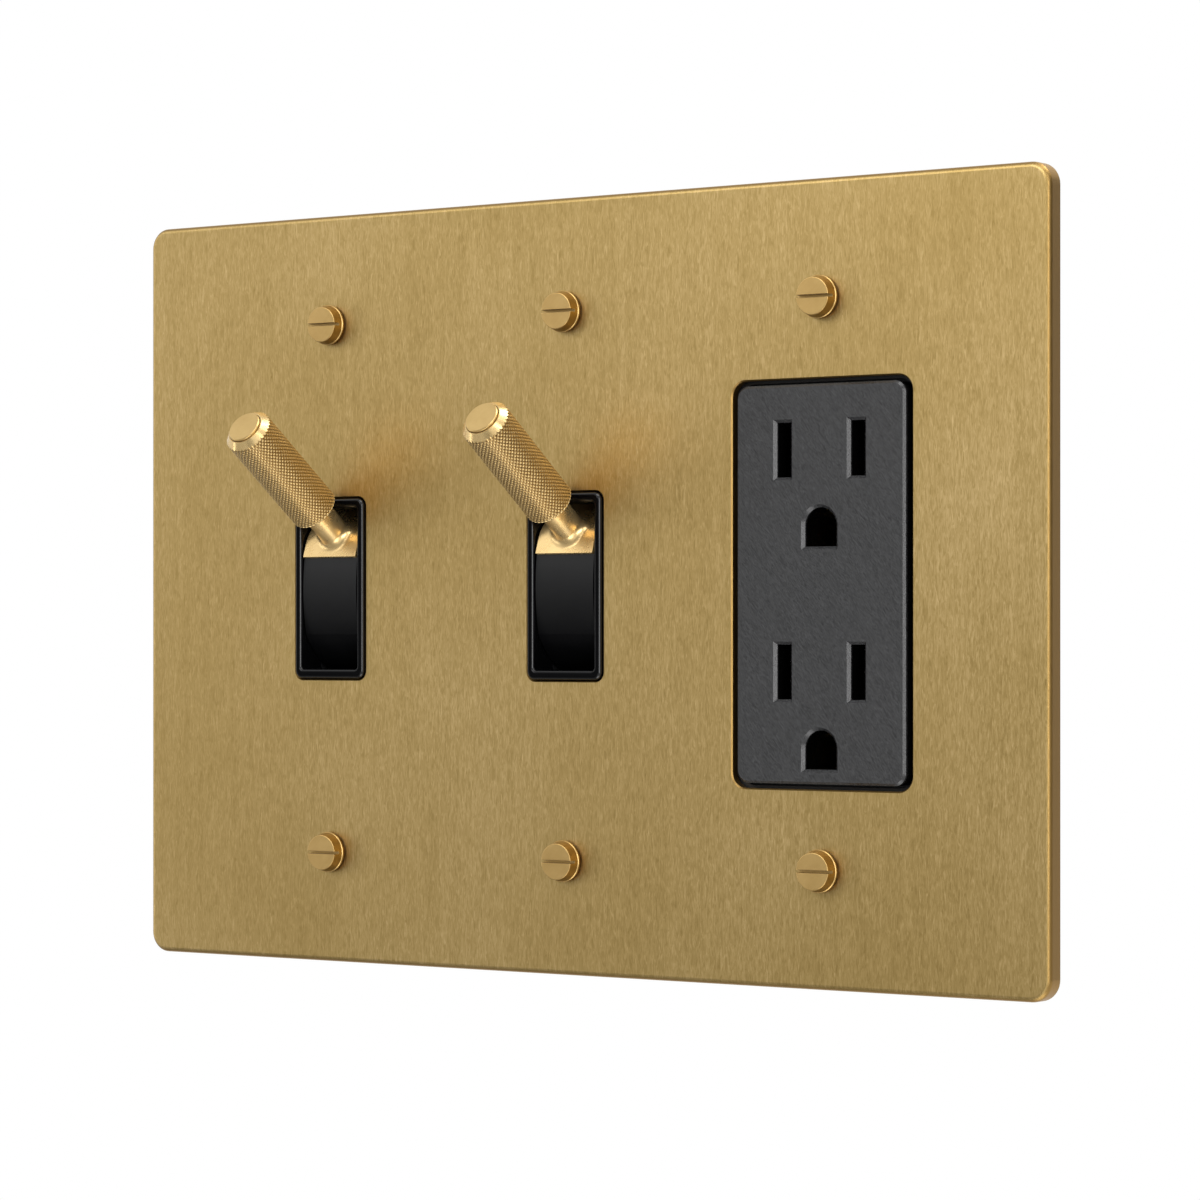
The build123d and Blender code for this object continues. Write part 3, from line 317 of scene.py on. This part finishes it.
outletFinish = {
    "strokeWidth": 0.27 * mm,     # one stroke of the tool's texture
    "strokeLength": 1.4 * mm,
    "swirl": 2.2,                 # how much the strokes bend
    "slant": 38,                  # degrees from upright
    "depth": 0.03 * mm,
    "relief": 0.4,                # share of that depth that shows
    "colours": ((0.3, "#0f0f10"), (0.72, "#353536")),
    "specular": 0.4,
    "roughness": (0.48, 0.6),
    "wornRoughness": 0.24,        # the slots' edges, rubbed smooth by plugs
    "wornTurn": (-0.9, -0.8),     # the Y part of the normal, on the face and on those edges
    "slotShadeColour": "#030303",
    "slotShadeDepth": (0.5 * mm, 0.9 * mm),  # how far in the painted shade turns the slots black
}


def texturedNylon():
    # Nylon from a mould with a fine swirled texture: matt charcoal with faint slanting strokes, and painted shade
    # that turns the slots deep black
    f = outletFinish
    material, tree, shader = newMaterial("charcoalNylon", IOR=1.53, Specular_IOR_Level=f["specular"])
    coordinates = addNode(tree, "ShaderNodeTexCoord")
    place = coordinates.outputs["Object"]
    size = (f["strokeWidth"], f["strokeWidth"], f["strokeLength"])
    slanted = addNode(tree, "ShaderNodeMapping", {"vector_type": "TEXTURE"}, Vector=place,
                      Rotation=(0, math.radians(-f["slant"]), 0), Scale=size)
    strokes = addNode(tree, "ShaderNodeTexNoise", Vector=slanted.outputs[0], Scale=1.0, Detail=2.0, Roughness=0.5,
                      Distortion=f["swirl"])
    face = addNode(tree, "ShaderNodeValToRGB", Fac=strokes.outputs[0])
    rampColours(face, f["colours"])
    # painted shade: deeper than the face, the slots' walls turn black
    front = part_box("receptacle_face")[0].y
    inward = addNode(tree, "ShaderNodeSeparateXYZ", Vector=place)
    dark = addNode(tree, "ShaderNodeMapRange", Value=inward.outputs["Y"], From_Min=front + f["slotShadeDepth"][0],
                   From_Max=front + f["slotShadeDepth"][1])
    colour = addNode(tree, "ShaderNodeMix", {"data_type": "RGBA"}, in0=dark.outputs[0], in6=face.outputs[0],
                     in7=linear(f["slotShadeColour"]))
    matt = addNode(tree, "ShaderNodeMapRange", Value=strokes.outputs[0], **noiseSpan,
                   To_Min=f["roughness"][0], To_Max=f["roughness"][1])
    facing = addNode(tree, "ShaderNodeSeparateXYZ", Vector=coordinates.outputs["Normal"])
    worn = addNode(tree, "ShaderNodeMapRange", Value=facing.outputs["Y"], From_Min=f["wornTurn"][0],
                   From_Max=f["wornTurn"][1])
    rough = addNode(tree, "ShaderNodeMix", {"data_type": "FLOAT"}, in0=worn.outputs[0], in2=matt.outputs[0],
                    in3=f["wornRoughness"])
    bump = addNode(tree, "ShaderNodeBump", Height=strokes.outputs[0], Strength=f["relief"], Distance=f["depth"])
    tree.links.new(colour.outputs[2], shader.inputs["Base Color"])
    tree.links.new(rough.outputs[0], shader.inputs["Roughness"])
    tree.links.new(bump.outputs[0], shader.inputs["Normal"])
    return material


def platedMetal(name, colours, roughness, spangle):
    # Pressed or turned metal, bare or thinly plated: a little cloudy in tone, half bright
    material, tree, shader = newMaterial(name, Metallic=1.0)
    place = addNode(tree, "ShaderNodeTexCoord").outputs["Object"]
    cloud = addNode(tree, "ShaderNodeTexNoise", Vector=place, Scale=1 / spangle, Detail=4.0, Roughness=0.65)
    colour = addNode(tree, "ShaderNodeValToRGB", Fac=cloud.outputs[0])
    rampColours(colour, list(zip(noiseEnds, colours)))
    rough = addNode(tree, "ShaderNodeMapRange", Value=cloud.outputs[0], **noiseSpan, To_Min=roughness[0],
                    To_Max=roughness[1])
    tree.links.new(colour.outputs[0], shader.inputs["Base Color"])
    tree.links.new(rough.outputs[0], shader.inputs["Roughness"])
    return material


finishes = {  # for the CAD nodes, by the record's slots
    "brushed_brass": brushedBrass(),
    "polished_brass": turnedBrass("polishedBrass", ("#d7b77d", "#dfc189"), (0.24, 0.32), 0.85),
    "gloss_black": glossAbs(),
    "satin_black": sheenPaintedAcetal(),
    "charcoal_nylon": texturedNylon(),
    "black_nylon": mouldedPlastic("blackNylon", ("#0d0d0e", "#141415"), (0.48, 0.62), 0.3 * mm, 0.02 * mm),
    "zinc_steel": platedMetal("zincPlatedSteel", ("#a5a8ab", "#c6c8c9"), (0.28, 0.42), 2.5 * mm),
    "black_steel": mouldedPlastic("blackCoatedSteel", ("#0a0a0b", "#0f0f10"), (0.5, 0.6), 0.25 * mm, 0.01 * mm),
    "contact_brass": platedMetal("stampedBrass", ("#c19a50", "#d8b56c"), (0.3, 0.34), 2.0 * mm),
    "brass_screw": platedMetal("brassScrew", ("#bf964b", "#cba457"), (0.3, 0.31), 3.0 * mm),
    "nickel_screw": platedMetal("nickelPlatedSteel", ("#bab8b2", "#c6c4be"), (0.25, 0.26), 3.0 * mm),
    "green_screw": platedMetal("greenDyedZinc", ("#1d6b3a", "#2f8a4d"), (0.26, 0.38), 1.0 * mm),
    "spring_steel": platedMetal("springSteel", ("#8f9194", "#a9abad"), (0.25, 0.35), 0.8 * mm),
    "acetal": mouldedPlastic("whiteAcetal", ("#d6d4cc", "#e0ded7"), (0.35, 0.45), 0.3 * mm, 0.004 * mm),
}
knurledBrass = grooveShadedKnurl()
capBrass = turnedBrass("satinBrassCap", ("#bd9e64", "#c7a96f"), (0.3, 0.38), 0.85)
# the screw heads get painted shade on their sides
screwBrass = turnedBrass("satinBrassScrew", ("#b6955a", "#c0a066"), (0.34, 0.42), 0.85, shadedSideColour="#86672f")
for subpart in frame["record"]["subparts"]:
    slots = cadNodes[subpart["node"]].data.materials
    slots.clear()
    slots.append(finishes[subpart["material_slot"]])
for side in switchSides:
    cadNodes[f"{side}_grip_cap"].data.materials[0] = capBrass
print("finishes:", len(finishes))


# New pieces

creaseAngle = 15                  # degrees, for the edges of turned pieces


def meshObject(name, mesh, material=None):  # the bmesh is already in its place in the frame
    shape = bpy.data.meshes.new(name)
    mesh.to_mesh(shape)
    mesh.free()
    if material:
        shape.materials.append(material)
    made = bpy.data.objects.new(name, shape)
    bpy.context.scene.collection.objects.link(made)
    return made


def newPiece(name, mesh, body, material, replaced):
    piece = meshObject(name, mesh, material)
    piece.data.shade_smooth()
    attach(piece, body)
    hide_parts(replaced)
    print("piece:", name, len(piece.data.polygons), "faces")


def creaseEdges(edges, angle):  # edges sharper than this many degrees stay crisp
    for edge in edges:
        edge.smooth = edge.calc_face_angle(0.0) < math.radians(angle)


def spinOutline(mesh, points, steps, closed=True):  # turns an outline of (radius, height) round the Z axis
    corners = [mesh.verts.new((radius, 0, height)) for radius, height in points]
    edges = [mesh.edges.new(pair) for pair in zip(corners, corners[1:])]
    if closed:
        edges.append(mesh.edges.new((corners[-1], corners[0])))
    bmesh.ops.spin(mesh, geom=corners + edges, axis=(0, 0, 1), cent=(0, 0, 0), angle=math.tau,
                   steps=steps, use_merge=True)
    bmesh.ops.remove_doubles(mesh, verts=mesh.verts, dist=weldGap)
    bmesh.ops.recalc_face_normals(mesh, faces=mesh.faces)


knurl = {
    "starts": 38,                 # diamonds round the grip
    "steps": 4,                   # mesh steps from one groove to the next, round the grip and along it
    "helixAngle": 38,             # slant of the grooves to the lever's axis, in degrees
    "depth": 0.23 * mm,
    "bulge": 0.3,                 # depth half-way from a peak to a groove, as a share of the whole
    "sharpest": 70,               # degrees: grooves are crisp and the diamonds between them are round
    "footChamfer": 0.4 * mm,
    "tipChamfer": 0.95 * mm,
    "boreRadius": 1.85 * mm,
    "capSeatRadius": 2.8 * mm,
    "capSeatDepth": 1.4 * mm,
}


def knurledGrip(side):
    k = knurl
    node = cadNodes[f"{side}_grip"]
    pivot, leverAxis = leverLine(side)
    heights = [(v.co - pivot).dot(leverAxis) for v in node.data.vertices]
    start, end = min(heights), max(heights)
    radius = max((v.co - pivot - leverAxis * h).length for v, h in zip(node.data.vertices, heights))
    knurlStart, knurlEnd = start + k["footChamfer"], end - k["tipChamfer"]
    steps = k["steps"]
    columns = steps * k["starts"]
    diamondHeight = math.tau * radius / k["starts"] / math.tan(math.radians(k["helixAngle"]))
    rows = steps * round((knurlEnd - knurlStart) / diamondHeight)
    rowHeight = (knurlEnd - knurlStart) / rows
    outline = [(k["boreRadius"], start), (radius - k["footChamfer"], start)]
    outline += [(radius, knurlStart + row * rowHeight) for row in range(rows + 1)]
    outline += [
        (radius - k["tipChamfer"], end),
        (k["capSeatRadius"], end),
        (k["capSeatRadius"], end - k["capSeatDepth"]),
        (k["boreRadius"], end - k["capSeatDepth"]),
    ]
    mesh = bmesh.new()
    depthLayer = mesh.verts.layers.float.new("sunk")  # 1 in a groove, 0 on a peak, for the painted shade in the grooves
    spinOutline(mesh, outline, columns)

    surface = {}
    for v in mesh.verts:
        if v.co.xy.length > radius - samePlace:
            column = round(math.atan2(v.co.y, v.co.x) / math.tau * columns)
            surface[v] = (column, round((v.co.z - knurlStart) / rowHeight))

    def inGroove(v, hand):  # grooves of both hands, half-way between the peaks
        column, row = surface[v]
        return (column + hand * row) % steps == steps // 2

    diamonds = {f for f in mesh.faces if all(v in surface for v in f.verts)}
    for square in list(diamonds):  # a groove runs along a diagonal
        for hand in (1, -1):
            low = [v for v in square.verts if inGroove(v, hand)]
            if len(low) == 2:
                diamonds.add(bmesh.utils.face_split(square, low[0], low[1])[0])
                break
    for v, (column, row) in surface.items():
        if inGroove(v, 1) or inGroove(v, -1):
            sunk = k["depth"]
        else:
            sunk = k["depth"] * k["bulge"] if (column + row) % 2 else 0.0
        if row == 0:  # at both ends the grooves run out on the chamfers
            v.co.z -= sunk
        elif row == rows:
            v.co.z += sunk
        v.co.xy *= (radius - sunk) / radius
        v[depthLayer] = sunk / k["depth"] if 0 < row < rows else 0.0  # the chamfers get no painted shade
    creaseEdges(mesh.edges, creaseAngle)
    creaseEdges([e for e in mesh.edges if all(f in diamonds for f in e.link_faces)], k["sharpest"])
    turn = Vector((0, 0, 1)).rotation_difference(leverAxis).to_matrix().to_4x4()
    bmesh.ops.transform(mesh, matrix=Matrix.Translation(pivot) @ turn, verts=mesh.verts)
    newPiece(f"{side}_knurled_grip", mesh, f"{side}_toggle", knurledBrass, f"{side}_grip")


for side in switchSides:
    knurledGrip(side)


boxScrew = {
    "faceRadius": 2.76 * mm,      # the head widens from its face to the rim at its back
    "edgeRadius": 0.12 * mm,
    "edgeSteps": 8,
    "support": 0.03 * mm,         # extra rings this near to an edge keep the shading flat beside it
    "headHeight": 2.05 * mm,
    "rimHeight": 0.5 * mm,
    "rimChamfer": 0.1 * mm,
    "seatRadius": 2.5 * mm,
    "seatHeight": 0.35 * mm,
    "neckRadius": 1.45 * mm,
    "neckLength": 3.0 * mm,
    "slotWidth": 0.44 * mm,
    "slotDepth": 1.0 * mm,
    "slotBevel": 0.05 * mm,
    "pitch": 25.4 / 32 * mm,      # 32 threads to the inch
    "threadRadius": 1.75 * mm,
    "rootRadius": 1.34 * mm,
    "threadSink": 0.1 * mm,       # how deep the ridge stands in the core
    "threadFoot": 0.02,           # where the ridge rises and where its crest begins, as shares of the pitch
    "threadCrest": 0.44,
    "tipChamfer": 0.5 * mm,
    "stepsRound": 96,
    "threadSteps": 24,
}


def slottedHead(length, headRadius):  # the whole screw without its thread, face at 0 and tip at its length
    s = boxScrew
    face, edge, support = s["faceRadius"], s["edgeRadius"], s["support"]
    rimRadius, rimTop = headRadius - s["rimChamfer"], s["headHeight"] - s["rimHeight"]
    outline = [(0, 0), (face - edge - support, 0)]
    for step in range(s["edgeSteps"] + 1):
        angle = math.pi / 2 * step / s["edgeSteps"]
        outline.append((face - edge + edge * math.sin(angle), edge - edge * math.cos(angle)))
    seat = s["headHeight"] + s["seatHeight"]
    outline += [
        (face, edge + support),
        (rimRadius, rimTop - support),
        (rimRadius, rimTop),
        (headRadius, rimTop + s["rimChamfer"]),
        (headRadius, s["headHeight"] - s["rimChamfer"]),
        (rimRadius, s["headHeight"]),
        (s["seatRadius"], s["headHeight"]),
        (s["seatRadius"], seat),
        (s["neckRadius"], seat),
        (s["neckRadius"], seat + s["neckLength"]),
        (s["rootRadius"], seat + s["neckLength"]),
        (s["rootRadius"], length - s["tipChamfer"]),
        (s["rootRadius"] - s["tipChamfer"], length),
        (0, length),
    ]
    mesh = bmesh.new()
    spinOutline(mesh, outline, s["stepsRound"], closed=False)
    body = meshObject("screwBody", mesh)
    mesh = bmesh.new()
    bmesh.ops.create_cube(mesh, size=1.0)  # the saw is wider than the head, and half of it stands above the face
    bmesh.ops.scale(mesh, vec=(3 * headRadius, s["slotWidth"], 2 * s["slotDepth"]), verts=mesh.verts)
    saw = meshObject("screwSaw", mesh)
    cut = body.modifiers.new("slot", "BOOLEAN")
    cut.operation, cut.solver, cut.object = "DIFFERENCE", "EXACT", saw
    sawn = body.evaluated_get(bpy.context.evaluated_depsgraph_get()).to_mesh()
    head = bmesh.new()
    head.from_mesh(sawn)
    for made in (body, saw):
        bpy.data.objects.remove(made)

    def onLip(v):
        return abs(v.co.z) < samePlace and abs(abs(v.co.y) - s["slotWidth"] / 2) < samePlace

    lips = [e for e in head.edges if all(onLip(v) for v in e.verts)]
    bmesh.ops.bevel(head, geom=lips, offset=s["slotBevel"], affect="EDGES", segments=1, profile=0.5, material=-1)
    return head


def screwThread(mesh, start, end):  # one ridge turned up the core
    s = boxScrew
    pitch, foot, crest = s["pitch"], s["threadFoot"], s["threadCrest"]
    root, outside = s["rootRadius"], s["threadRadius"]
    inside = root - s["threadSink"]
    section = [
        (inside, foot),
        (root, foot),
        (outside, crest),
        (outside, 1 - crest),
        (root, 1 - foot),
        (inside, 1 - foot),
    ]
    corners = [mesh.verts.new((radius, 0, start + part * pitch)) for radius, part in section]
    ridge = mesh.faces.new(corners)
    turns = int((end - start) / pitch) - 1
    geometry = [ridge] + list(ridge.edges) + corners
    bmesh.ops.spin(mesh, geom=geometry, axis=(0, 0, 1), cent=(0, 0, 0), angle=math.tau * turns,
                   steps=s["threadSteps"] * turns, dvec=(0, 0, pitch / s["threadSteps"]))


def boxScrews():
    s = boxScrew
    low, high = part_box("cover_screws")
    columns = []
    for node in ("left_bezel", "middle_bezel", "receptacle_face"):
        nodeLow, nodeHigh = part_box(node)
        columns.append((nodeLow.x + nodeHigh.x) / 2)
    headRadius = high.x - columns[-1]
    length = high.y - low.y
    mesh = slottedHead(length, headRadius)
    threadStart = s["headHeight"] + s["seatHeight"] + s["neckLength"]
    screwThread(mesh, threadStart, length - s["tipChamfer"])
    bmesh.ops.recalc_face_normals(mesh, faces=mesh.faces)
    creaseEdges(mesh.edges, creaseAngle)
    intoWall = Matrix.Rotation(-math.pi / 2, 4, "X")
    bmesh.ops.transform(mesh, matrix=intoWall, verts=mesh.verts)
    places = [(x, z) for x in columns for z in (low.z + headRadius, high.z - headRadius)]
    single = mesh.verts[:] + mesh.edges[:] + mesh.faces[:]
    screws = [single] + [bmesh.ops.duplicate(mesh, geom=single)["geom"] for place in places[1:]]
    for screw, (x, z) in zip(screws, places):
        verts = [v for v in screw if isinstance(v, bmesh.types.BMVert)]
        bmesh.ops.translate(mesh, verts=verts, vec=(x, low.y, z))
    newPiece("box_screws", mesh, "plate", screwBrass, "cover_screws")


boxScrews()


# Stage and light

white = linear("#ffffff")
stage = {
    "floorDrop": 0.45,            # the plate is fixed to a wall, so the floor lies well below it
    "floorSize": 12.0,
    "paper": "#e8e8e6",
    "fill": 0.55,                 # strength of the white room for soft light
    "cardSteps": 24,
}


def whiteWhenSeen(tree):  # 1 for what the camera, a gloss or a clear material sees, 0 for soft light
    rays = addNode(tree, "ShaderNodeLightPath")
    seen = addNode(tree, "ShaderNodeMath", {"operation": "ADD", "use_clamp": True},
                   in0=rays.outputs["Is Camera Ray"], in1=rays.outputs["Is Glossy Ray"])
    seen = addNode(tree, "ShaderNodeMath", {"operation": "ADD", "use_clamp": True},
                   in0=seen.outputs[0], in1=rays.outputs["Is Transmission Ray"])
    return seen.outputs[0]


def stagePiece(name, mesh, material):
    piece = meshObject(name, mesh, material)
    return piece


def makeFloor():
    # White paper: white to the eye and in reflections, pale and matt for the light that falls on it
    material, tree, shader = newMaterial("paperFloor", Base_Color=linear(stage["paper"]), Roughness=0.9)
    glow = addNode(tree, "ShaderNodeEmission", Color=white, Strength=1.0)
    both = addNode(tree, "ShaderNodeMixShader", in0=whiteWhenSeen(tree), in1=shader.outputs[0], in2=glow.outputs[0])
    tree.links.new(both.outputs[0], tree.nodes["Material Output"].inputs["Surface"])
    mesh = bmesh.new()
    bmesh.ops.create_grid(mesh, x_segments=1, y_segments=1, size=stage["floorSize"] / 2)
    bmesh.ops.translate(mesh, verts=mesh.verts, vec=(0, 0, -stage["floorDrop"]))
    stagePiece("floor", mesh, material)


def makeRoom():
    world = bpy.data.worlds.new("whiteRoom")
    bpy.context.scene.world = world
    world.use_nodes = True
    tree = world.node_tree
    strength = addNode(tree, "ShaderNodeMapRange", Value=whiteWhenSeen(tree), To_Min=stage["fill"], To_Max=1.0)
    background = tree.nodes["Background"]
    background.inputs["Color"].default_value = white
    tree.links.new(strength.outputs[0], background.inputs["Strength"])


# Grey and black cards curve round the plate, seen only in reflections. They run from one angle to another, in
# degrees from straight ahead, and stand upright unless the lower edge has a nearer place of its own. Metres.
cards = {
    "skirt": {"from": -66, "to": 16, "low": -0.44, "high": 0.4, "distance": 1.6, "tone": 0.5},
    "gap": {"from": -2, "to": 24, "low": -0.44, "high": 0.16, "distance": 1.55, "tone": 0.15},
    "mat": {"from": -85, "to": 0, "low": -0.44, "high": -0.43, "distance": 1.62, "near": 0.12, "tone": 0.32},
    "right": {"from": 84, "to": 150, "low": -0.2, "high": 0.7, "distance": 1.5, "tone": 0.05},
}
softBoxes = {  # white lamps that face the plate: metres and watts
    "key": {"at": (-0.3, -1.33, 0.8), "size": (1.1, 0.7), "power": 9},
    "side": {"at": (-1.25, -0.7, 0.05), "size": (0.16, 0.8), "power": 1.4},
    "strip": {"at": (0.9, -0.7, 0.15), "size": (0.3, 1.0), "power": 6},
    "low": {"at": (0.12, -0.1, -0.42), "size": (0.3, 0.3), "power": 0.8},
    "top": {"at": (0.25, -0.3, 0.95), "size": (0.7, 0.5), "power": 4},
    "rim": {"at": (0.35, 0.3, 0.9), "size": (0.6, 0.4), "power": 5},
}


def makeCards():
    for name, card in cards.items():
        material, tree, _ = newMaterial(f"{name}Card")
        glow = addNode(tree, "ShaderNodeEmission", Color=white, Strength=card["tone"])
        tree.links.new(glow.outputs[0], tree.nodes["Material Output"].inputs["Surface"])
        mesh = bmesh.new()
        near = card.get("near", card["distance"])
        ends = [mesh.verts.new((0, -near, card["low"])), mesh.verts.new((0, -card["distance"], card["high"]))]
        side = mesh.edges.new(ends)
        turn = Matrix.Rotation(math.radians(card["from"]), 3, "Z")
        bmesh.ops.rotate(mesh, verts=ends, cent=(0, 0, 0), matrix=turn)
        bmesh.ops.spin(mesh, geom=ends + [side], axis=(0, 0, 1), cent=(0, 0, 0), steps=stage["cardSteps"],
                       angle=math.radians(card["to"] - card["from"]))
        piece = stagePiece(f"card_{name}", mesh, material)
        piece.visible_camera = False
        piece.visible_diffuse = False
        piece.visible_shadow = False


def makeSoftBoxes():
    for name, box in softBoxes.items():
        light = bpy.data.lights.new(name, "AREA")
        light.shape = "RECTANGLE"
        light.size, light.size_y = box["size"]
        light.energy = box["power"]
        lamp = bpy.data.objects.new(name, light)
        bpy.context.scene.collection.objects.link(lamp)
        toPlate = -Vector(box["at"]).normalized()
        lamp.matrix_world = Matrix.Translation(box["at"]) @ toPlate.to_track_quat("-Z", "Y").to_matrix().to_4x4()
        lamp.visible_camera = False


makeFloor()
makeRoom()
makeCards()
makeSoftBoxes()
print("stage:", len(cards), "cards,", len(softBoxes), "soft boxes")


# Camera, as the photo was taken: level, to the right of the plate

photoCamera = {
    "at": (0.3665, -0.5028, -0.0082),
    "turn": 35.76,                # degrees to the left of straight at the wall
    "lens": 122.54,               # mm
    "sensor": 36,                 # mm
    "shiftUp": 0.0337,
    "clip": (0.01, 50),
}


def makeCamera():
    data = bpy.data.cameras.new("photoCamera")
    data.sensor_width = photoCamera["sensor"]
    data.lens = photoCamera["lens"]
    data.shift_y = photoCamera["shiftUp"]
    data.clip_start, data.clip_end = photoCamera["clip"]
    camera = bpy.data.objects.new("photoCamera", data)
    bpy.context.scene.collection.objects.link(camera)
    camera.location = photoCamera["at"]
    camera.rotation_euler = (math.pi / 2, 0, math.radians(photoCamera["turn"]))
    bpy.context.scene.camera = camera


makeCamera()
bpy.context.scene.view_settings.view_transform = "Standard"
